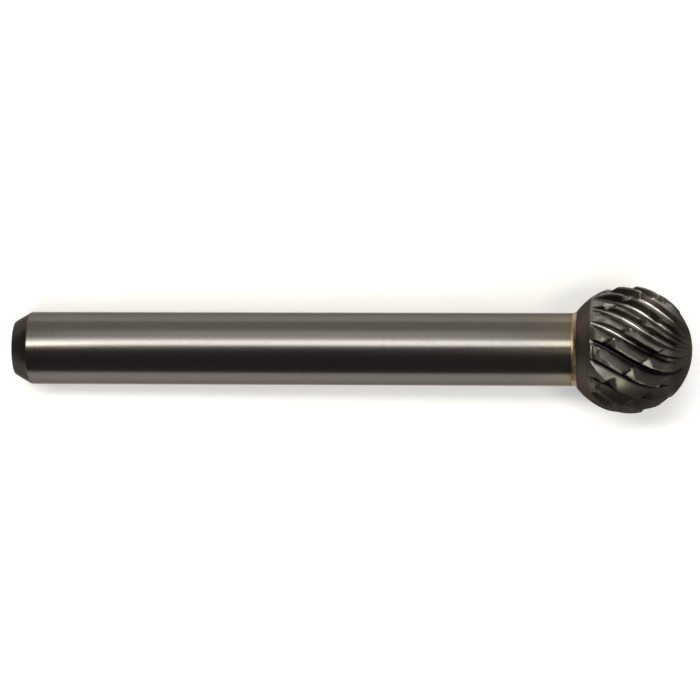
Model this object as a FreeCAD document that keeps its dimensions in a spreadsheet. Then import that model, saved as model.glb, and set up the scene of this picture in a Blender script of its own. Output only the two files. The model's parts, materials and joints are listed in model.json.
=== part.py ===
import FreeCAD, Part
import Sketcher
import math
import os

# Carbide burr: a ball of ground tungsten carbide, silver-brazed on a round steel shank.
# The pieces are drawn along the tool's own axis, X, from the shank's free end at X = 0
# to the nose of the ball. They are then laid down together, as the tool rests on a table.

doc = FreeCAD.newDocument("CarbideBurr")

# Driving sizes, in millimetres and degrees
# A latitude is counted on the ball from its widest circle, towards the neck or the nose.
SIZES = [
    ("shank_diameter", 6.35, "ground rod, a standard collet size"),
    ("shank_length", 49.3, "from the free end to the shoulder under the ball"),
    ("end_chamfer_length", 1.43, "along the axis, at the free end"),
    ("end_chamfer_depth", 0.82, "how far the chamfer takes the radius in"),
    ("spigot_diameter", 4.0, "turned-down end of the shank that holds the ball"),
    ("spigot_length", 4.0, "from the shoulder to the spigot's end"),
    ("spigot_chamfer", 0.4, "lead-in at the spigot's end"),
    ("braze_gap", 0.1, "thickness of the braze film all round the spigot"),
    ("fillet_radius", 0.5, "hollow of the braze ring between shank and ball"),
    ("head_diameter", 11.1, "the ball, over its crests"),
    ("flute_count", 18, "main cutting edges"),
    ("flute_helix", 31, "angle of the edges to the axis at the widest circle, right hand"),
    ("flute_neck_latitude", 35, "where a flute leaves the ball behind the widest circle"),
    ("flute_nose_latitude", 80, "where a flute fades out near the nose"),
    ("flute_runout_slope", 5, "climb of the straight run-out at the neck"),
    ("flute_runout_length", 2.5, "length of the straight run-out"),
    ("flute_floor", 0.22, "width of the wheel's rim at the bottom of a flute"),
    ("flute_face_angle", 20, "steep cutting face, from the radius"),
    ("flute_back_angle", 54, "broad tooth back, from the radius"),
    ("flute_wheel_height", 1.15, "working height of the wheel's section"),
    ("breaker_count", 9, "chip-breaker grooves"),
    ("breaker_helix", 32, "angle of the grooves to the axis at the widest circle, left hand"),
    ("breaker_phase", 12.3, "turn of the first groove from the first flute"),
    ("breaker_neck_latitude", 35, "where a groove leaves the ball behind the widest circle"),
    ("breaker_nose_latitude", 78, "where a groove fades out near the nose"),
    ("breaker_runout_slope", 12, "climb of the straight run-out at the neck"),
    ("breaker_runout_length", 1.9, "length of the straight run-out"),
    ("breaker_floor", 0.1, "width of the groove's bottom"),
    ("breaker_face_angle", 25, "steep side, towards the neck, from the radius"),
    ("breaker_back_angle", 60, "broad side, towards the nose, from the radius"),
    ("breaker_wheel_height", 0.8, "working height of the wheel's section"),
]

sizes = doc.addObject("Spreadsheet::Sheet", "sizes")
for row, (alias, value, meaning) in enumerate(SIZES, start=1):
    sizes.set(f"A{row}", meaning)
    sizes.set(f"B{row}", str(value))
    sizes.setAlias(f"B{row}", alias)
doc.recompute()

# Places that follow from the sizes, along the axis and out from it
layout = doc.addObject("App::VarSet", "layout")
LAYOUT = [
    ("shank_radius", "sizes.shank_diameter / 2"),
    ("end_radius", "layout.shank_radius - sizes.end_chamfer_depth"),
    ("spigot_radius", "sizes.spigot_diameter / 2"),
    ("spigot_end", "sizes.shank_length + sizes.spigot_length"),
    ("socket_radius", "layout.spigot_radius + sizes.braze_gap"),
    ("socket_end", "layout.spigot_end + sizes.braze_gap"),
    ("neck", "sizes.shank_length + sizes.braze_gap"),
    ("head_radius", "sizes.head_diameter / 2"),
    ("ball_centre", "layout.neck + sqrt(layout.head_radius^2 - layout.shank_radius^2)"),
    ("nose", "layout.ball_centre + layout.head_radius"),
    ("ring_reach", "layout.head_radius + sizes.fillet_radius"),
    ("ring_start", "layout.ball_centre - sqrt(layout.ring_reach^2 - (layout.shank_radius + sizes.fillet_radius)^2)"),
    ("ring_share", "layout.head_radius / layout.ring_reach"),
    ("ring_end", "layout.ball_centre - (layout.ball_centre - layout.ring_start) * layout.ring_share"),
    ("ring_radius", "(layout.shank_radius + sizes.fillet_radius) * layout.ring_share"),
]


def add_places(table):
    for name, formula in table:
        layout.addProperty("App::PropertyFloat", name, "Places")
        layout.setExpression(name, formula)
    doc.recompute()


add_places(LAYOUT)

# The lie of the tool on a table: it touches at the chamfer's outer corner and at two crests of the ball,
# one each side of the lowest point. The middle of its length is over the origin.
add_places([
    ("rest_height", "layout.head_radius * cos(180deg / sizes.flute_count * cos(sizes.flute_helix * 1deg))"),
    ("rest_span", "layout.ball_centre - sizes.end_chamfer_length"),
    ("rest_tilt", "(asin(layout.rest_height / sqrt(layout.rest_span^2 + layout.shank_radius^2))"
                  " - atan(layout.shank_radius / layout.rest_span)) / 1deg"),
    ("flute_twist", "tan(sizes.flute_helix * 1deg) / layout.head_radius * 180 / pi"),
    ("breaker_twist", "tan(sizes.breaker_helix * 1deg) / layout.head_radius * 180 / pi"),
    ("tooth_share", "tan(sizes.flute_back_angle * 1deg)"
                    " / (tan(sizes.flute_back_angle * 1deg) + tan(sizes.flute_face_angle * 1deg))"),
    ("floor_turn", "sizes.flute_floor / layout.head_radius / cos(sizes.flute_helix * 1deg) * 180 / pi"),
    ("tooth_middle", "(360 / sizes.flute_count - layout.floor_turn) * (layout.tooth_share - 0.5)"),
    ("rest_roll", "-90 - layout.tooth_middle"
                  " + layout.flute_twist * layout.head_radius * sin(layout.rest_tilt * 1deg)"),
    ("rest_x", "-(layout.ball_centre * cos(layout.rest_tilt * 1deg) + layout.head_radius"
               " - layout.end_radius * sin(layout.rest_tilt * 1deg)) / 2"),
    ("rest_z", "layout.rest_height - layout.ball_centre * sin(layout.rest_tilt * 1deg)"),
])
LAID_DOWN = (
    "create(<<placement>>; create(<<vector>>; layout.rest_x; 0; layout.rest_z);"
    " create(<<rotation>>; 0; -layout.rest_tilt; layout.rest_roll))"
)


# Names for the numbers that a sketch uses for its points and axes
START, END, CENTRE = range(1, 4)
HORIZONTAL_AXIS, VERTICAL_AXIS = range(-1, -3, -1)

# Places along a groove at which the wheel's section is set
STATION_COUNT = 12


def read(formula):
    return float(layout.evalExpression(formula))


def origin_plane(body, role):
    return next(item for item in body.Origin.OriginFeatures if item.Role == role)


def new_sketch(body, name):
    sketch = body.newObject("Sketcher::SketchObject", name)
    sketch.AttachmentSupport = [(origin_plane(body, "XY_Plane"), "")]
    sketch.MapMode = "FlatFace"
    return sketch


def hold(sketch, kind, *where, formula):
    """Add a dimension to the sketch and tie it to a formula."""
    index = sketch.addConstraint(Sketcher.Constraint(kind, *where, read(formula)))
    sketch.setExpression(f"Constraints[{index}]", formula)


def hold_point(sketch, side, end, along, out):
    """Place one end of a side by its formulas, along the axis and out from it. No formula means on the axis."""
    if along:
        hold(sketch, "DistanceX", -1, 1, side, end, formula=along)
    else:
        sketch.addConstraint(Sketcher.Constraint("PointOnObject", side, end, VERTICAL_AXIS))
    if out:
        hold(sketch, "DistanceY", -1, 1, side, end, formula=out)
    else:
        sketch.addConstraint(Sketcher.Constraint("PointOnObject", side, end, HORIZONTAL_AXIS))


def arc_between(start, end, centre):
    """The arc from start to end, anticlockwise."""
    circle = Part.Circle(centre, FreeCAD.Vector(0, 0, 1), (start - centre).Length)
    return Part.ArcOfCircle(circle, circle.parameter(start), circle.parameter(end))


def half_section(body, name, corners, arcs):
    """A closed half-section beside the axis, drawn anticlockwise from corner to corner.

    A corner is a pair of formulas, along the axis and out from it. arcs gives the curved sides by their first
    corner: the formulas of the centre, whether the side turns clockwise, and the radius, or None where the
    centre is on the axis.
    """
    sketch = new_sketch(body, name)
    places = [point(along, out) for along, out in corners]
    count = len(corners)
    for side in range(count):
        ends = places[side], places[(side + 1) % count]
        if side in arcs:
            centre, clockwise, _ = arcs[side]
            ends = reversed(ends) if clockwise else ends
            sketch.addGeometry(arc_between(*ends, point(*centre)))
        else:
            sketch.addGeometry(Part.LineSegment(*ends))
    first = [END if side in arcs and arcs[side][1] else START for side in range(count)]
    last = [START if end == END else END for end in first]
    for side in range(count):
        after = (side + 1) % count
        sketch.addConstraint(Sketcher.Constraint("Coincident", side, last[side], after, first[after]))
    for side, (along, out) in enumerate(corners):
        hold_point(sketch, side, first[side], along, out)
    for side, (_, _, radius) in arcs.items():
        if radius:
            hold(sketch, "Radius", side, formula=radius)
        else:
            sketch.addConstraint(Sketcher.Constraint("PointOnObject", side, CENTRE, HORIZONTAL_AXIS))
    return sketch


def point(along, out):
    return FreeCAD.Vector(read(along) if along else 0, read(out) if out else 0, 0)


def turned(label, corners, arcs):
    """A piece turned about the tool's axis."""
    body = doc.addObject("PartDesign::Body", label)
    sketch = half_section(body, f"{label}_section", corners, arcs)
    turn = body.newObject("PartDesign::Revolution", f"{label}_turned")
    turn.Profile = sketch
    turn.ReferenceAxis = (sketch, ["H_Axis"])
    turn.Angle = 360
    sketch.Visibility = False
    doc.recompute()
    return body


# Steel shank: one round bar, chamfered at the free end and turned down to a spigot at the other.
steel_shank = turned(
    "steel_shank",
    [
        (None, None),
        ("layout.spigot_end", None),
        ("layout.spigot_end", "layout.spigot_radius - sizes.spigot_chamfer"),
        ("layout.spigot_end - sizes.spigot_chamfer", "layout.spigot_radius"),
        ("sizes.shank_length", "layout.spigot_radius"),
        ("sizes.shank_length", "layout.shank_radius"),
        ("sizes.end_chamfer_length", "layout.shank_radius"),
        (None, "layout.end_radius"),
    ],
    {},
)

# Braze: a thin cup of silver solder between spigot and socket, drawn out at the neck into a hollow ring.
braze_joint = turned(
    "braze_joint",
    [
        ("layout.spigot_end", None),
        ("layout.socket_end", None),
        ("layout.socket_end", "layout.socket_radius"),
        ("layout.neck", "layout.socket_radius"),
        ("layout.neck", "layout.shank_radius"),
        ("layout.ring_end", "layout.ring_radius"),
        ("layout.ring_start", "layout.shank_radius"),
        ("sizes.shank_length", "layout.shank_radius"),
        ("sizes.shank_length", "layout.spigot_radius"),
        ("layout.spigot_end - sizes.spigot_chamfer", "layout.spigot_radius"),
        ("layout.spigot_end", "layout.spigot_radius - sizes.spigot_chamfer"),
    ],
    {
        4: (("layout.ball_centre", None), True, None),
        5: (("layout.ring_start", "layout.shank_radius + sizes.fillet_radius"), True, "sizes.fillet_radius"),
    },
)

# Carbide ball before grinding: flat at the neck, with a blind socket for the spigot.
ball_blank = turned(
    "ball_blank",
    [
        ("layout.socket_end", None),
        ("layout.nose", None),
        ("layout.neck", "layout.shank_radius"),
        ("layout.neck", "layout.socket_radius"),
        ("layout.socket_end", "layout.socket_radius"),
    ],
    {1: (("layout.ball_centre", None), False, None)},
)


def root_line(name, kind):
    """The bottom of a groove in the plane of the axis: a straight run-out at the neck, then an arc to the nose."""
    neck_latitude = f"sizes.{kind}_neck_latitude * 1deg"
    nose_latitude = f"sizes.{kind}_nose_latitude * 1deg"
    slope = f"sizes.{kind}_runout_slope * 1deg"
    neck = (
        f"layout.ball_centre - layout.head_radius * sin({neck_latitude})",
        f"layout.head_radius * cos({neck_latitude})",
    )
    bend = (
        f"{neck[0]} + sizes.{kind}_runout_length * cos({slope})",
        f"{neck[1]} + sizes.{kind}_runout_length * sin({slope})",
    )
    nose = (
        f"layout.ball_centre + layout.head_radius * sin({nose_latitude})",
        f"layout.head_radius * cos({nose_latitude})",
    )
    sketch = new_sketch(ball_blank, name)
    start, join, end = point(*neck), point(*bend), point(*nose)
    inwards = FreeCAD.Vector(join.y - start.y, start.x - join.x, 0).normalize()
    reach = end - join
    centre = join + inwards * (reach.dot(reach) / (2 * reach.dot(inwards)))
    sketch.addGeometry(Part.LineSegment(start, join))
    sketch.addGeometry(arc_between(end, join, centre))
    hold_point(sketch, 0, START, *neck)
    hold_point(sketch, 0, END, *bend)
    hold_point(sketch, 1, START, *nose)
    sketch.addConstraint(Sketcher.Constraint("Tangent", 0, END, 1, END))
    sketch.Visibility = False
    doc.recompute()
    return sketch


def wheel_section(kind, back_angle, face_angle):
    """The grinding wheel's section, across the groove and up out of it."""
    half_floor = read(f"sizes.{kind}_floor") / 2
    height = read(f"sizes.{kind}_wheel_height")
    back = height * math.tan(math.radians(read(back_angle)))
    face = height * math.tan(math.radians(read(face_angle)))
    return [
        (-half_floor, 0),
        (half_floor, 0),
        (half_floor + back, height),
        (-half_floor - face, height),
    ]


def groove(name, root, twist, phase, section):
    """The metal that the wheel takes out: its section carried along the root line, which winds round the ball."""
    centre = FreeCAD.Vector(read("layout.ball_centre"), 0, 0)
    stations = Part.Wire(Part.__sortEdges__(root.Shape.Edges)).discretize(Number=STATION_COUNT)
    wound = []
    for station in stations:
        turn = math.radians(phase + twist * (station.x - centre.x))
        wound.append(FreeCAD.Vector(station.x, station.y * math.cos(turn), station.y * math.sin(turn)))
    path = Part.BSplineCurve()
    path.interpolate(wound)
    cuts = []
    for place in wound:
        forwards = path.tangent(path.parameter(place))[0]
        outwards = place - centre
        outwards = (outwards - forwards * outwards.dot(forwards)).normalize()
        across = forwards.cross(outwards)
        outline = [place + across * side + outwards * up for side, up in section]
        cuts.append(Part.makePolygon(outline + outline[:1]))
    feature = doc.addObject("Part::Feature", name)
    feature.Shape = Part.makeLoft(cuts, True, False)
    return feature


def ground(shape, cutter, count):
    """Cut the same groove all round the axis, at even steps."""
    axis = FreeCAD.Vector(1, 0, 0)
    copies = [cutter.Shape.rotated(FreeCAD.Vector(), axis, 360 * step / count) for step in range(count)]
    return shape.cut(copies)


# Flutes: right-hand helical grooves that leave one broad-backed tooth between each pair.
flute_root = root_line("flute_root", "flute")
flute_cut = groove(
    "flute_cut",
    flute_root,
    read("layout.flute_twist"),
    0,
    wheel_section("flute", "sizes.flute_back_angle", "sizes.flute_face_angle"),
)

# Chip breakers: shallow left-hand grooves that notch each tooth, steep on the side of the neck.
breaker_root = root_line("breaker_root", "breaker")
breaker_cut = groove(
    "breaker_cut",
    breaker_root,
    -read("layout.breaker_twist"),
    read("sizes.breaker_phase"),
    wheel_section("breaker", "sizes.breaker_back_angle", "sizes.breaker_face_angle"),
)

# Carbide head: the ball with its flutes and chip breakers ground in.
carbide_head = doc.addObject("Part::Feature", "carbide_head")
fluted = ground(ball_blank.Shape, flute_cut, int(read("sizes.flute_count")))
carbide_head.Shape = ground(fluted, breaker_cut, int(read("sizes.breaker_count"))).Solids[0]

nodes = [steel_shank, braze_joint, carbide_head]
for node in nodes:
    node.setExpression("Placement", LAID_DOWN)
doc.recompute()

for item in doc.Objects:
    assert not {"Invalid", "Error"} & set(item.State), f"{item.Label} failed: {item.State}"
assert carbide_head.Shape.Volume < ball_blank.Shape.Volume, "the grooves took nothing off the ball"

os.makedirs("parts", exist_ok=True)
for node in nodes:
    assert not node.Shape.isNull() and node.Shape.isValid(), f"{node.Label} has no sound shape"
    node.Shape.exportStep(f"parts/{node.Label}.step")
    print(node.Label, len(node.Shape.Solids), "solid", round(node.Shape.Volume, 2), "mm3", node.Shape.BoundBox)
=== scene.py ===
import json
import math

import bpy
import numpy as np
from mathutils import Matrix, Vector


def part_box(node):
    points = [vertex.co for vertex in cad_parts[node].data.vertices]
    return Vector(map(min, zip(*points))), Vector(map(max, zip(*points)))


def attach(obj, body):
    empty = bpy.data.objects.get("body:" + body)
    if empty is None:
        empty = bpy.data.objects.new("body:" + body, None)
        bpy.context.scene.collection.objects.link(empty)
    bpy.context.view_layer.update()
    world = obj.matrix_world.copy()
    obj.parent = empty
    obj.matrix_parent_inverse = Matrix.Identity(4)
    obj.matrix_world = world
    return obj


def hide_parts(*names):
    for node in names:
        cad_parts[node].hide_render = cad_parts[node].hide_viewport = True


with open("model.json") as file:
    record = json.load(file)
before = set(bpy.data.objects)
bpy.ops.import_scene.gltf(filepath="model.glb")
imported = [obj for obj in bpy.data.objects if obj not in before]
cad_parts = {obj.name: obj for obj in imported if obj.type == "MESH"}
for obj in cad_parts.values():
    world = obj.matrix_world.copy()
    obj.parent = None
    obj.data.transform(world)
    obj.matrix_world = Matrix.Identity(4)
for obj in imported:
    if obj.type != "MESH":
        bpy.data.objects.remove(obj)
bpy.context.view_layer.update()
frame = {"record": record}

# Steel shank
# The round bar that a collet grips. It is centreless-ground steel, chamfered at the free end and turned
# down to a spigot at the other. The brazing heat has left a straw-brown tint beside the ball.
SHANK_RADIUS = 0.003175
SHANK_LENGTH = 0.0493
CHAMFER_LENGTH = 0.00143
CHAMFER_DEPTH = 0.00082
END_RADIUS = SHANK_RADIUS - CHAMFER_DEPTH
SPIGOT_RADIUS = 0.002
SPIGOT_LENGTH = 0.004
SPIGOT_END = SHANK_LENGTH + SPIGOT_LENGTH
SPIGOT_CHAMFER = 0.0004
EDGE_BREAK = 0.00005
EDGE_BREAK_STEPS = 3
EDGE_BREAK_ANGLE = math.radians(20)
SHANK_SIDES = 192

# The tool lies with its free end on the table and the ball end raised. Pieces are made along the X axis,
# from the free end, and then laid down on the line of the shank's mount.
mount = next(entry for entry in frame["record"]["mounts"] if entry["name"] == "shank")
tilt = math.asin(-mount["axis"][2])
free_end = Vector((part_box("steel_shank")[0].x + END_RADIUS * math.sin(tilt), 0, 0))
free_end.z = mount["pos_m"][2] + (free_end.x - mount["pos_m"][0]) * math.tan(tilt)
LAID_DOWN = Matrix.Translation(free_end) @ Matrix.Rotation(-tilt, 4, "Y")


def turned(name, stations, sides):
    """A piece turned about the X axis: a disc carried through stations of a place along and a radius."""
    bpy.ops.object.select_all(action="DESELECT")
    along, radius = stations[0]
    bpy.ops.mesh.primitive_circle_add(
        vertices=sides,
        radius=radius,
        fill_type="NGON",
        location=(along, 0, 0),
        rotation=(0, math.radians(90), 0),
    )
    piece = bpy.context.object
    piece.name = piece.data.name = name
    bpy.ops.object.transform_apply(location=True, rotation=True, scale=True)
    bpy.ops.object.mode_set(mode="EDIT")
    bpy.ops.mesh.select_all(action="SELECT")
    for next_along, next_radius in stations[1:]:
        bpy.ops.mesh.extrude_region_move(TRANSFORM_OT_translate={"value": (next_along - along, 0, 0)})
        spread = next_radius / radius
        bpy.ops.transform.resize(value=(1, spread, spread), center_override=(next_along, 0, 0))
        along, radius = next_along, next_radius
    bpy.ops.mesh.select_all(action="SELECT")
    bpy.ops.mesh.normals_make_consistent(inside=False)
    bpy.ops.object.mode_set(mode="OBJECT")
    return piece


def smooth(piece, sharpest):
    """Shades a piece smooth, apart from its edges that are sharper than this angle in degrees."""
    bpy.ops.object.select_all(action="DESELECT")
    piece.select_set(True)
    bpy.context.view_layer.objects.active = piece
    bpy.ops.object.shade_smooth_by_angle(angle=math.radians(sharpest))


def lay_down(piece):
    """Gives a finished piece the tool's lie on the table, in its mesh. It moves with the whole tool."""
    piece.data.transform(LAID_DOWN)
    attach(piece, "root")


shank = turned(
    "shank",
    [
        (0, END_RADIUS),
        (CHAMFER_LENGTH, SHANK_RADIUS),
        (SHANK_LENGTH, SHANK_RADIUS),
        (SHANK_LENGTH, SPIGOT_RADIUS),
        (SPIGOT_END - SPIGOT_CHAMFER, SPIGOT_RADIUS),
        (SPIGOT_END, SPIGOT_RADIUS - SPIGOT_CHAMFER),
    ],
    SHANK_SIDES,
)
edges = shank.modifiers.new("edge_break", "BEVEL")
edges.width = EDGE_BREAK
edges.segments = EDGE_BREAK_STEPS
edges.limit_method = "ANGLE"
edges.angle_limit = EDGE_BREAK_ANGLE
bpy.ops.object.modifier_apply(modifier=edges.name)
smooth(shank, sharpest=30)
lay_down(shank)
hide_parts("steel_shank")


class Paint:
    """A shader socket that takes part in sums. Every other node of a material comes from its add method."""

    def __init__(self, tree, socket=None):
        self.tree = tree
        self.socket = socket

    def add(self, kind, inputs=None, out=0, **settings):
        """A new node: first its settings are made, then its sockets are fed. Gives back one output."""
        node = self.tree.nodes.new(f"ShaderNode{kind}")
        for name, value in settings.items():
            setattr(node, name, value)
        for name, value in (inputs or {}).items():
            self.feed(node.inputs[name], value)
        return Paint(self.tree, node.outputs[out])

    def feed(self, socket, value):
        """Links a Paint to the socket, and sets the socket to any other value."""
        if isinstance(value, Paint):
            self.tree.links.new(value.socket, socket)
        else:
            socket.default_value = value

    def maths(self, operation, *values):
        return self.add("Math", dict(enumerate(values)), operation=operation)

    def __add__(self, other):
        return self.maths("ADD", self, other)

    __radd__ = __add__

    def __sub__(self, other):
        return self.maths("SUBTRACT", self, other)

    def __rsub__(self, other):
        return self.maths("SUBTRACT", other, self)

    def __mul__(self, other):
        return self.maths("MULTIPLY", self, other)

    __rmul__ = __mul__

    def highest(self, other):
        return self.maths("MAXIMUM", self, other)

    def rise(self, low, high):
        """0 where this value is under low, 1 over high, and a smooth rise between."""
        return self.add("MapRange", {0: self, 1: low, 2: high}, interpolation_type="SMOOTHSTEP")

    def mix(self, low, high):
        """The colour low where this value is 0, and high where it is 1."""
        colours = {0: self, 6: low, 7: high}
        return self.add("Mix", colours, out=2, data_type="RGBA")


def new_finish(piece, name, tint=(1, 1, 1, 1)):
    """A metal finish on the piece, with the tint of its grazing shine. Gives back its Paint and shader."""
    material = bpy.data.materials.new(name)
    material.use_nodes = True
    piece.data.materials.clear()
    piece.data.materials.append(material)
    shader = material.node_tree.nodes["Principled BSDF"]
    shader.inputs["Metallic"].default_value = 1
    shader.inputs["Specular Tint"].default_value = tint
    return Paint(material.node_tree), shader


MM = 1000


def tool_place(paint):
    """Coordinates in the tool's own lie, in millimetres: X runs along it from the free end."""
    place = paint.add("TexCoord", out="Object")
    scale = (1 / MM, 1 / MM, 1 / MM)
    lie = {"Vector": place, "Location": free_end, "Rotation": (0, -tilt, 0), "Scale": scale}
    return paint.add("Mapping", lie, vector_type="TEXTURE")


STEEL = (0.134, 0.124, 0.115, 1)
STEEL_DULL = (0.097, 0.088, 0.081, 1)
STEEL_TINT = (0.5, 0.47, 0.44, 1)
STRAW = (0.163, 0.143, 0.113, 1)
HEAT_BROWN = (0.13, 0.085, 0.05, 1)
CHAMFER_DARK = (0.05, 0.044, 0.04, 1)

# Where the finish changes along the shank, in millimetres from its free end. The heat's edge wanders.
CHAMFER_FADE = (1.3, 1.5)
END_RINGS_FADE = (1.8, 4.5)
STRAW_FADE = (45.5, 50.0)
BROWN_FADE = (49.5, 50.5)
HEAT_WANDER = 1.6

# How much the worn patches and the rings near the free end dull the steel, and how rough it is.
WORN_FADE = (0.52, 0.7)
WORN_DULLNESS = 0.4
RING_DULLNESS = 0.45
STEEL_ROUGHNESS = 0.182
WORN_ROUGHNESS = 0.07
CHAMFER_ROUGHNESS = 0.14
STRAW_SMOOTHNESS = 0.03
GRINDING_DEPTH = 0.00001

paint, shader = new_finish(shank, "ground_steel", STEEL_TINT)
place = tool_place(paint)
along = paint.add("SeparateXYZ", {0: place}, out="X")

# Grinding lines run round the bar, so their pattern changes fast along it and slowly round it.
lined = paint.add("Mapping", {"Vector": place, "Scale": (14, 0.5, 0.5)})
lines = paint.add("TexNoise", {"Vector": lined, "Scale": 1, "Detail": 4, "Roughness": 0.7})
patches = paint.add("TexNoise", {"Vector": place, "Scale": 0.5, "Detail": 3})
worn = paint.add("TexNoise", {"Vector": place, "Scale": 2.2, "Detail": 5, "Roughness": 0.7})
rings = paint.add("TexWave", {"Vector": place, "Scale": 0.9, "Distortion": 1.5}, bands_direction="X")

chamfer = 1 - along.rise(*CHAMFER_FADE)
near_end = 1 - along.rise(*END_RINGS_FADE)
heated = along + patches * HEAT_WANDER
straw = heated.rise(*STRAW_FADE)
brown = heated.rise(*BROWN_FADE)
dull = worn.rise(*WORN_FADE) * WORN_DULLNESS + rings * near_end * RING_DULLNESS

colour = dull.mix(STEEL, STEEL_DULL)
colour = chamfer.mix(colour, CHAMFER_DARK)
colour = straw.mix(colour, STRAW)
colour = brown.mix(colour, HEAT_BROWN)
rough = STEEL_ROUGHNESS + worn * WORN_ROUGHNESS + chamfer * CHAMFER_ROUGHNESS - straw * STRAW_SMOOTHNESS
relief = paint.add("Bump", {"Strength": 0.25, "Distance": GRINDING_DEPTH, "Height": lines})
paint.feed(shader.inputs["Base Color"], colour)
paint.feed(shader.inputs["Roughness"], rough)
paint.feed(shader.inputs["Normal"], relief)

# Braze
# Silver solder between the shank's spigot and the socket in the ball. It is a thin golden film that ends
# at the neck in a small hollow ring.
BRAZE_GAP = 0.0001
NECK = SHANK_LENGTH + BRAZE_GAP
SOCKET_RADIUS = SPIGOT_RADIUS + BRAZE_GAP
SOCKET_END = SPIGOT_END + BRAZE_GAP
BALL_RADIUS = 0.00555
BALL_CENTRE = NECK + math.sqrt(BALL_RADIUS**2 - SHANK_RADIUS**2)
HOLLOW_RADIUS = 0.0005
HOLLOW_STEPS = 10

# The ring's hollow is an arc that touches both the shank and the ball, as a solder fillet does.
hollow_reach = BALL_RADIUS + HOLLOW_RADIUS
hollow_height = SHANK_RADIUS + HOLLOW_RADIUS
hollow_start = BALL_CENTRE - math.sqrt(hollow_reach**2 - hollow_height**2)
hollow_turn = math.asin((BALL_CENTRE - hollow_start) / hollow_reach)
hollow = []
for step in range(HOLLOW_STEPS, -1, -1):
    turn = hollow_turn * step / HOLLOW_STEPS
    arc_along = hollow_start + HOLLOW_RADIUS * math.sin(turn)
    arc_radius = hollow_height - HOLLOW_RADIUS * math.cos(turn)
    hollow.append((arc_along, arc_radius))

braze = turned(
    "braze",
    [
        (SOCKET_END, SOCKET_RADIUS),
        (NECK, SOCKET_RADIUS),
        (NECK, SHANK_RADIUS),
        *hollow,
        (SHANK_LENGTH, SHANK_RADIUS),
        (SHANK_LENGTH, SPIGOT_RADIUS),
        (SPIGOT_END - SPIGOT_CHAMFER, SPIGOT_RADIUS),
        (SPIGOT_END, SPIGOT_RADIUS - SPIGOT_CHAMFER),
    ],
    SHANK_SIDES,
)
smooth(braze, sharpest=40)
lay_down(braze)
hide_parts("braze_joint")

GOLD = (0.26, 0.205, 0.118, 1)
BURNT = (0.1, 0.065, 0.035, 1)
BURNT_FADE = (0.45, 0.62)
GOLD_ROUGHNESS = 0.33
GRAIN_ROUGHNESS = 0.15
GRAIN_DEPTH = 0.00003

paint, shader = new_finish(braze, "silver_braze")
place = tool_place(paint)
spots = paint.add("TexNoise", {"Vector": place, "Scale": 0.7, "Detail": 3})
grain = paint.add("TexNoise", {"Vector": place, "Scale": 9, "Detail": 4})
relief = paint.add("Bump", {"Strength": 0.4, "Distance": GRAIN_DEPTH, "Height": grain})
paint.feed(shader.inputs["Base Color"], spots.rise(*BURNT_FADE).mix(GOLD, BURNT))
paint.feed(shader.inputs["Roughness"], GOLD_ROUGHNESS + grain * GRAIN_ROUGHNESS)
paint.feed(shader.inputs["Normal"], relief)

# Carbide head
# A ball of sintered tungsten carbide. Eighteen right-hand flutes are ground into it, which leave one
# broad-backed tooth between each pair, and nine shallow left-hand chip breakers notch the teeth.
FLUTE_COUNT = 18
FLUTE_HELIX = math.radians(31)
FLUTE_TURN = math.radians(-93.527)
FLUTE_FACE = math.radians(20)
FLUTE_BACK = math.radians(54)
FLUTE_BOTTOM = 0.00025
BREAKER_COUNT = 9
BREAKER_HELIX = math.radians(-32)
BREAKER_TURN = FLUTE_TURN + math.radians(12.3)
BREAKER_FACE = math.radians(25)
BREAKER_BACK = math.radians(60)
BREAKER_FLOOR = 0.0001

# A groove's root enters the ball at the neck's latitude, runs straight at its slope for its length, and
# leaves in an arc at the nose's latitude. The latitudes and the slope are in degrees.
FLUTE_ROOT = dict(neck=35, slope=5, length=0.0025, nose=80)
BREAKER_ROOT = dict(neck=35, slope=12, length=0.0019, nose=78)
RUN_POINTS = 30
ARC_POINTS = 90

# The mesh has this many columns for each flute, and rows from the socket's end over the ball to the nose.
# The fluted rows begin just before the grooves do.
COLUMNS = 24
ROWS = 216
LAND_ROWS = 14
FLUTED_ROWS = 180
NOSE_ROWS = 14
FLUTED_FROM = math.radians(-36)
FLUTED_TO = math.radians(80)
NEARLY_ZERO = 1e-6

# A flute's columns are even over its pitch where it is shallow. From the full depth on they follow its
# section, and lie closer together on its bottom.
PITCH_POINTS = 1601
SECTION_POINTS = 400
PITCH_BEFORE_ROOT = 0.4
WIDEST_FLUTE = 0.985
BOTTOM_CLOSENESS = 2.5
FULL_DEPTH = 0.0001

# Wear, with a painted highlight on it, shows on the teeth's crests, where the flutes are deep enough to
# leave one, and on the notches' rims.
CREST_DEPTH = 0.00006
CREST_FLUTE_DEPTH = 0.0002
RIM_DEPTH = 0.00003
RIM_WEAR = 0.5


def root_depth(latitude, neck, slope, length, nose):
    """How deep a groove's root is under the ball at each latitude: a straight run, then an arc."""
    neck, nose, slope = map(math.radians, (-neck, nose, slope))
    start = BALL_RADIUS * np.array([math.sin(neck), math.cos(neck)])
    end = BALL_RADIUS * np.array([math.sin(nose), math.cos(nose)])
    forwards = np.array([math.cos(slope), math.sin(slope)])
    inwards = np.array([forwards[1], -forwards[0]])
    bend = start + forwards * length
    reach = end - bend
    radius = reach @ reach / (2 * reach @ inwards)
    centre = bend + inwards * radius
    first = math.atan2(*(bend - centre)[::-1])
    last = math.atan2(*(end - centre)[::-1])
    turns = np.linspace(first, last, ARC_POINTS)
    arc = centre + radius * np.stack([np.cos(turns), np.sin(turns)], axis=1)
    run = start + np.linspace(0, 1, RUN_POINTS, endpoint=False)[:, None] * forwards * length
    line = np.concatenate([run, arc])
    depth = np.maximum(BALL_RADIUS - np.hypot(line[:, 0], line[:, 1]), 0)
    return np.interp(latitude, np.arctan2(line[:, 0], line[:, 1]), depth, left=0, right=0)


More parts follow.
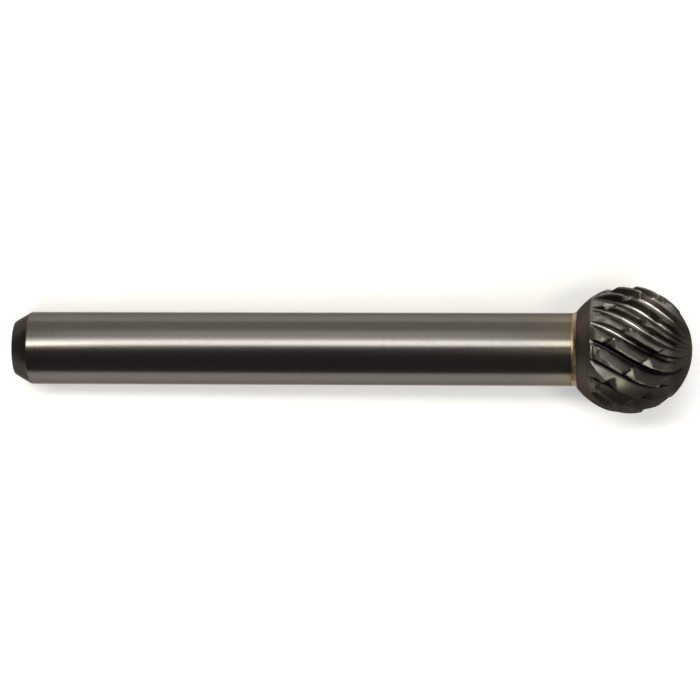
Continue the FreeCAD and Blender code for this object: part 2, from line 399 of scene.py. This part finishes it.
def groove_line(first_turn, helix, latitude):
    """The turn round the axis at which a groove's root crosses a circle of latitude."""
    return first_turn + math.tan(helix) * math.sin(latitude)


def groove_slant(helix, latitude):
    """A groove's width square to its root, as a share of its width along a circle of latitude."""
    return math.cos(math.atan(math.tan(helix) * math.cos(latitude) ** 2))


def flute_height(across):
    """A flute's section over its root: a rounded bottom between the steep face and the broad back."""
    face_end = FLUTE_BOTTOM * math.cos(FLUTE_FACE)
    back_start = FLUTE_BOTTOM * math.cos(FLUTE_BACK)
    bottom = FLUTE_BOTTOM - np.sqrt(FLUTE_BOTTOM**2 - np.clip(across, -face_end, back_start) ** 2)
    face = np.maximum(-across - face_end, 0) / math.tan(FLUTE_FACE)
    back = np.maximum(across - back_start, 0) / math.tan(FLUTE_BACK)
    return bottom + face + back


def breaker_height(across):
    """A chip breaker's section over its root: a flat floor between a steeper and a flatter side."""
    face = np.maximum(-across - BREAKER_FLOOR / 2, 0) / math.tan(BREAKER_FACE)
    back = np.maximum(across - BREAKER_FLOOR / 2, 0) / math.tan(BREAKER_BACK)
    return face + back


def spread_columns(depth, pitch):
    """Where the columns of one flute lie across it, from its root."""
    across = np.linspace(-pitch, pitch, PITCH_POINTS)
    inside = across[flute_height(across) < depth]
    even = (np.arange(COLUMNS) / COLUMNS - PITCH_BEFORE_ROOT) * pitch
    if len(inside) < 2:
        return even
    low = inside[0]
    high = min(inside[-1], low + pitch * WIDEST_FLUTE)
    section = np.linspace(low, high, SECTION_POINTS)
    steps = np.hypot(np.diff(section), np.diff(flute_height(section)))
    steps *= np.where(np.abs(section[1:]) < FLUTE_BOTTOM, BOTTOM_CLOSENESS, 1)
    travelled = np.concatenate([[0], np.cumsum(steps)])
    share = np.linspace(0, travelled[-1], COLUMNS - 1)
    fitted = np.append(np.interp(share, travelled, section), (high + low + pitch) / 2)
    weight = min(depth / FULL_DEPTH, 1)
    weight = weight * weight * (3 - 2 * weight)
    return even * (1 - weight) + fitted * weight


neck_latitude = -math.acos(SHANK_RADIUS / BALL_RADIUS)
latitudes = np.concatenate([
    np.linspace(neck_latitude, FLUTED_FROM, LAND_ROWS, endpoint=False),
    np.linspace(FLUTED_FROM, FLUTED_TO, FLUTED_ROWS, endpoint=False),
    np.linspace(FLUTED_TO, math.radians(90), NOSE_ROWS),
])
flute_depths = root_depth(latitudes, **FLUTE_ROOT)
breaker_depths = root_depth(latitudes, **BREAKER_ROOT)
flute_step = 2 * math.pi / FLUTE_COUNT
breaker_step = 2 * math.pi / BREAKER_COUNT
sides = FLUTE_COUNT * COLUMNS
socket_rows = ROWS + 1 - len(latitudes)

# For each point of the head: its turn round the axis, its distance from it and its place along it. Then
# what its finish and painted light need: its wear and painted edge highlight, how deep it is ground, and
# its place across and along which flute.
turns = np.zeros((ROWS + 1, sides))
radii = np.zeros((ROWS + 1, sides))
alongs = np.zeros((ROWS + 1, sides))
wear_and_glint = np.zeros((ROWS + 1, sides))
sunk = np.zeros((ROWS + 1, sides))
ground = np.zeros((ROWS + 1, sides, 3))
for index, latitude in enumerate(latitudes):
    circle = BALL_RADIUS * max(math.cos(latitude), NEARLY_ZERO)
    slant = groove_slant(FLUTE_HELIX, latitude)
    pitch = circle * flute_step * slant
    across = spread_columns(flute_depths[index], pitch)
    flute_depth = np.zeros(COLUMNS)
    for neighbour in (-1, 0, 1):
        neighbour_depth = flute_depths[index] - flute_height(across - neighbour * pitch)
        flute_depth = np.maximum(flute_depth, neighbour_depth)
    flute_depth = np.tile(flute_depth, FLUTE_COUNT)
    flute_turns = np.arange(FLUTE_COUNT) * flute_step
    turn = np.add.outer(flute_turns, across / circle / slant).ravel()
    turn = groove_line(FLUTE_TURN, FLUTE_HELIX, latitude) + turn

    from_breaker = turn - groove_line(BREAKER_TURN, BREAKER_HELIX, latitude)
    from_breaker = (from_breaker + breaker_step / 2) % breaker_step - breaker_step / 2
    across_breaker = from_breaker * circle * groove_slant(BREAKER_HELIX, latitude)
    breaker_depth = breaker_depths[index] - breaker_height(across_breaker)

    row = index + socket_rows
    depth = np.maximum(flute_depth, breaker_depth)
    turns[row] = turn
    radii[row] = (BALL_RADIUS - depth) * math.cos(latitude)
    alongs[row] = BALL_CENTRE + (BALL_RADIUS - depth) * math.sin(latitude)

    crest = np.clip(1 - flute_depth / CREST_DEPTH, 0, 1)
    crest = crest * np.clip(flute_depths[index] / CREST_FLUTE_DEPTH - 1, 0, 1)
    rim = np.clip(1 - np.abs(breaker_depth - flute_depth) / RIM_DEPTH, 0, 1) * (breaker_depth > 0)
    wear_and_glint[row] = np.maximum(np.where(breaker_depth > flute_depth, 0, crest), rim * RIM_WEAR)
    sunk[row] = depth
    ground[row, :, 0] = np.tile(across, FLUTE_COUNT)
    ground[row, :, 1] = BALL_RADIUS * latitude / slant
    ground[row, :, 2] = np.repeat(np.arange(FLUTE_COUNT), COLUMNS)

# The socket's end and wall, and the ball's flat end round its mouth.
socket_wall = [
    (SOCKET_END, NEARLY_ZERO),
    (SOCKET_END, SOCKET_RADIUS),
    (NECK, SOCKET_RADIUS),
    (NECK, 0.5 * (SOCKET_RADIUS + SHANK_RADIUS)),
]
for row in range(socket_rows):
    share = row / (socket_rows - 1) * (len(socket_wall) - 1)
    corner = min(int(share), len(socket_wall) - 2)
    part = share - corner
    (start_along, start_radius), (end_along, end_radius) = socket_wall[corner:corner + 2]
    turns[row] = turns[socket_rows]
    radii[row] = start_radius * (1 - part) + end_radius * part
    alongs[row] = start_along * (1 - part) + end_along * part

bpy.ops.object.select_all(action="DESELECT")
bpy.ops.mesh.primitive_uv_sphere_add(segments=sides, ring_count=ROWS, radius=1)
head = bpy.context.object
head.name = head.data.name = "head"
sphere = np.empty(len(head.data.vertices) * 3)
head.data.vertices.foreach_get("co", sphere)
sphere = sphere.reshape(-1, 3)
at_row = np.rint(np.arccos(np.clip(-sphere[:, 2], -1, 1)) / math.pi * ROWS).astype(int)
at_column = np.rint(np.arctan2(sphere[:, 1], sphere[:, 0]) / (2 * math.pi) * sides).astype(int) % sides
turn = turns[at_row, at_column]
radius = radii[at_row, at_column]
radius[(at_row == 0) | (at_row == ROWS)] = 0
ball = np.stack([alongs[at_row, at_column], radius * np.cos(turn), radius * np.sin(turn)], axis=1)
head.data.vertices.foreach_set("co", ball.ravel())
for name, values in (("wear_and_glint", wear_and_glint), ("sunk", sunk * MM)):
    attribute = head.data.attributes.new(name, "FLOAT", "POINT")
    attribute.data.foreach_set("value", values[at_row, at_column])
attribute = head.data.attributes.new("ground", "FLOAT_VECTOR", "POINT")
attribute.data.foreach_set("vector", (ground[at_row, at_column] * (MM, MM, 1)).ravel())
head.data.update()
bpy.ops.object.mode_set(mode="EDIT")
bpy.ops.mesh.select_all(action="SELECT")
bpy.ops.mesh.normals_make_consistent(inside=False)
bpy.ops.object.mode_set(mode="OBJECT")
smooth(head, sharpest=28)
lay_down(head)
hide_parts("carbide_head")

CARBIDE = (0.11, 0.102, 0.087, 1)
# A lighter tone painted on the upper half of the ball, as light falling on it.
CARBIDE_PAINTED_LIGHT = (0.17, 0.156, 0.141, 1)
CARBIDE_LAND = (0.07, 0.062, 0.055, 1)
# Painted shade for the nose, the underside and the flutes' steep faces.
CARBIDE_PAINTED_SHADE = (0.055, 0.048, 0.042, 1)
# Deeper painted shade in the flutes' hollows.
CARBIDE_PAINTED_DEEP_SHADE = (0.018, 0.011, 0.018, 1)
# Wear on the crests and rims, lightened as a painted highlight.
CARBIDE_WEAR_AND_GLINT = (0.32, 0.3, 0.25, 1)
# A painted highlight along the flutes' roots.
CARBIDE_PAINTED_GLINT = (0.4, 0.383, 0.375, 1)
CARBIDE_TINT = (0.4, 0.38, 0.36, 1)

# Where the finish and the painted light change over the ball, in millimetres: the nose's painted shade and
# the land along the axis from its centre, the underside's painted shade aside of the axis, and the upper
# half, painted lighter and with painted highlights on its roots, on a line that leans with the flutes.
NOSE_FADE = (3.2, 4.1)
LAND_FADE = (-3.25, -3.1)
UNDER_FADE = (-4.3, -3.2)
UPPER_FADE = (-1.4, 0.5)
GLINT_SIDE_FADE = (0.1, 0.6)
UPPER_LEAN = 0.45
BRIGHT_SIDE = 2.9
BRIGHT_SIDE_FADE = (2.6, BRIGHT_SIDE)
BRIGHT_END_FADE = (-2.4, -1.0)
BRIGHT_END_LEAN = 1.35

# Where the painted shade on the steep faces and in the hollows, and the painted highlight on the roots,
# change over a flute, in millimetres across it from its root, and by how deep it is sunk.
FACE_FADE = (-0.2, -0.08)
GAP_FADE = (0.12, 0.3)
GROUND_DEPTH_FADE = (0.06, 0.2)
ROOT_START_FADE = (-0.26, -0.2)
ROOT_END_FADE = (0.1, 0.2)
ROOT_DEPTH_FADE = (0.2, 0.45)

# How much of the noise shows as streaks of painted highlight on the roots and as worn edges with a painted
# highlight, and how rough the carbide is.
STREAK_FADE = (0.35, 0.55)
WEAR_FADE = (0.42, 0.65)
CARBIDE_ROUGHNESS = 0.28
SCRATCH_ROUGHNESS = 0.1
WEAR_ROUGHNESS = 0.2
DARK_ROUGHNESS = 0.12
SCRATCH_DEPTH = 0.00001

paint, shader = new_finish(head, "ground_carbide", CARBIDE_TINT)
place = tool_place(paint)
along = paint.add("SeparateXYZ", {0: place}, out="X")
aside = paint.add("SeparateXYZ", {0: place}, out="Y")
edge_wear_and_glint = paint.add("Attribute", out="Fac", attribute_name="wear_and_glint")
sunk_in = paint.add("Attribute", out="Fac", attribute_name="sunk")
flute_place = paint.add("Attribute", out="Vector", attribute_name="ground")
from_root = paint.add("SeparateXYZ", {0: flute_place}, out="X")
stretched = paint.add("Mapping", {"Vector": flute_place, "Scale": (40, 1.5, 7)})
scratches = paint.add("TexNoise", {"Vector": stretched, "Scale": 1, "Detail": 3})
blotches = paint.add("TexNoise", {"Vector": place, "Scale": 1.2, "Detail": 4})
streaks = paint.add("TexNoise", {"Vector": place, "Scale": 0.9, "Detail": 2})

ball_centre = BALL_CENTRE * MM
# The nose and the underside of the ball are painted with shade.
nose = along.rise(ball_centre + NOSE_FADE[0], ball_centre + NOSE_FADE[1])
land = 1 - along.rise(ball_centre + LAND_FADE[0], ball_centre + LAND_FADE[1])
under = 1 - aside.rise(*UNDER_FADE)
dark = nose.highest(land).highest(under)
# The upper half of the ball is painted lighter, as if it were lit more.
up_the_ball = aside + (along - ball_centre) * UPPER_LEAN
upper = up_the_ball.rise(*UPPER_FADE)
# The side of the ball on which the roots get a painted highlight.
glint_side = up_the_ball.rise(*GLINT_SIDE_FADE)
bright_end = (along - ball_centre - (aside - BRIGHT_SIDE) * BRIGHT_END_LEAN).rise(*BRIGHT_END_FADE)
bright = bright_end.highest(1 - aside.rise(*BRIGHT_SIDE_FADE))

sunk_well = sunk_in.rise(*GROUND_DEPTH_FADE)
# The flutes' steep faces are painted with shade.
face = (1 - from_root.rise(*FACE_FADE)) * sunk_well
# The flutes' hollows, away from the side where the roots glint, are painted with deep shade.
painted_gap_shade = (1 - from_root.rise(*GAP_FADE)) * sunk_well * (1 - glint_side)
# A painted highlight along the roots, broken into streaks, only where the light falls bright.
root = from_root.rise(*ROOT_START_FADE) * (1 - from_root.rise(*ROOT_END_FADE))
root = root * sunk_in.rise(*ROOT_DEPTH_FADE) * glint_side * bright * (1 - nose) * streaks.rise(*STREAK_FADE)
# Worn crests and rims, painted lighter as a highlight, but not on the nose, the land or the underside.
painted_edge_glint_and_wear = edge_wear_and_glint * blotches.rise(*WEAR_FADE) * (1 - dark)

# Painted light and shade: a lighter upper half, shaded nose, underside, faces and hollows, glinting roots
# and edges.
colour = upper.mix(CARBIDE, CARBIDE_PAINTED_LIGHT)
colour = land.mix(colour, CARBIDE_LAND)
colour = nose.highest(under).mix(colour, CARBIDE_PAINTED_SHADE)
colour = face.mix(colour, CARBIDE_PAINTED_SHADE)
colour = painted_gap_shade.mix(colour, CARBIDE_PAINTED_DEEP_SHADE)
colour = root.mix(colour, CARBIDE_PAINTED_GLINT)
colour = painted_edge_glint_and_wear.mix(colour, CARBIDE_WEAR_AND_GLINT)
rough = CARBIDE_ROUGHNESS + scratches * SCRATCH_ROUGHNESS + edge_wear_and_glint * WEAR_ROUGHNESS
rough = rough + dark * DARK_ROUGHNESS
relief = paint.add("Bump", {"Strength": 0.3, "Distance": SCRATCH_DEPTH, "Height": scratches})
paint.feed(shader.inputs["Base Color"], colour)
paint.feed(shader.inputs["Roughness"], rough)
paint.feed(shader.inputs["Normal"], relief)

# Floor and light
# The tool lies on a plain pale table. A long softbox over it, feathered towards the back, draws the
# bright stripe on the shank. Small boxes light single facets of the ball, and panels behind, beside and
# in front fill the rest.
TABLE_RADIUS = 1.5
TABLE_SIDES = 96
TABLE_PALE = (0.88, 0.88, 0.88, 1)
TABLE_ROUGHNESS = 0.9
TABLE_SHINE = 0.1

bpy.ops.object.select_all(action="DESELECT")
bpy.ops.mesh.primitive_circle_add(vertices=TABLE_SIDES, radius=TABLE_RADIUS, fill_type="NGON")
table = bpy.context.object
table.name = "table"
table_material = bpy.data.materials.new("table")
table_material.use_nodes = True
table_shader = table_material.node_tree.nodes["Principled BSDF"]
table_shader.inputs["Base Color"].default_value = TABLE_PALE
table_shader.inputs["Roughness"].default_value = TABLE_ROUGHNESS
table_shader.inputs["Specular IOR Level"].default_value = TABLE_SHINE
table.data.materials.append(table_material)

LAMP_HEIGHT = 0.4
TOOL_MIDDLE = (0, 0, 0.005)
WHITE = (1, 1, 1)
YELLOWISH = (1, 0.97, 0.8)
WARM_WHITE = (1, 0.95, 0.88)
STUDIO_GREY = (0.092, 0.088, 0.085, 1)


def softbox(name, centre, width, depth, power, target=TOOL_MIDDLE, colour=WHITE):
    """A soft rectangular lamp of this size in metres and power in watts, aimed at the target."""
    lamp = bpy.data.lights.new(name, "AREA")
    lamp.shape = "RECTANGLE"
    lamp.size = width
    lamp.size_y = depth
    lamp.energy = power
    lamp.color = colour
    thing = bpy.data.objects.new(name, lamp)
    bpy.context.collection.objects.link(thing)
    thing.location = centre
    thing.rotation_euler = (Vector(target) - Vector(centre)).to_track_quat("-Z", "Y").to_euler()
    return thing


softbox("key", (-0.04, 0.085, LAMP_HEIGHT), width=0.3, depth=0.115, power=0.79, target=(-0.04, 0, 0.005))

# Three fainter strips, one behind the other, let the key's reflection fade softly. Each has its near
# edge, its far edge and its power, and faces straight down.
FEATHERS = {
    "feather_near": (0.145, 0.25, 0.19),
    "feather_middle": (0.25, 0.37, 0.11),
    "feather_far": (0.37, 0.52, 0.1),
}
FEATHER_ALONG = -0.06
for name, (near, far, power) in FEATHERS.items():
    middle = (near + far) / 2
    centre = (FEATHER_ALONG, middle, LAMP_HEIGHT)
    softbox(name, centre, width=0.3, depth=far - near, power=power, target=(FEATHER_ALONG, middle, 0))

softbox("left_box", (-0.215, 0.045, LAMP_HEIGHT), width=0.08, depth=0.07, power=0.42, colour=YELLOWISH)
softbox("right_box", (0.19, -0.065, LAMP_HEIGHT), width=0.09, depth=0.09, power=0.34, colour=YELLOWISH)
softbox("panel", (0.1, 0.652, 0.344), width=1.4, depth=0.765, power=2.15, colour=WARM_WHITE)
softbox("side", (0.75, -0.15, LAMP_HEIGHT), width=1.0, depth=0.6, power=0.35)
fill = softbox("fill", (0.15, -0.85, 0.95), width=1.8, depth=1.2, power=16.5)
fill.visible_glossy = False

world = bpy.data.worlds.new("studio")
world.use_nodes = True
world.node_tree.nodes["Background"].inputs["Color"].default_value = STUDIO_GREY
bpy.context.scene.world = world

# Camera
# It looks down on the tool, square to its length, and leans a little towards the ball and the near side.
CAMERA_TARGET = Vector((-0.000058, -0.000056, 0.004))
CAMERA_DISTANCE = 0.308
CAMERA_LEAN_X = math.radians(3.754)
CAMERA_LEAN_Y = math.radians(6.2)
CAMERA_ROLL = math.radians(0.859)
CAMERA_LENS = 180.7
CAMERA_SENSOR = 36
CAMERA_NEAREST = 0.01

camera_data = bpy.data.cameras.new("camera")
camera_data.lens = CAMERA_LENS
camera_data.sensor_width = CAMERA_SENSOR
camera_data.clip_start = CAMERA_NEAREST
camera = bpy.data.objects.new("camera", camera_data)
bpy.context.collection.objects.link(camera)
lean = (
    Matrix.Rotation(CAMERA_LEAN_X, 4, "Y")
    @ Matrix.Rotation(CAMERA_LEAN_Y, 4, "X")
    @ Matrix.Rotation(CAMERA_ROLL, 4, "Z")
)
camera.matrix_world = Matrix.Translation(CAMERA_TARGET) @ lean @ Matrix.Translation((0, 0, CAMERA_DISTANCE))
bpy.context.scene.camera = camera
bpy.context.scene.view_settings.view_transform = "Standard"
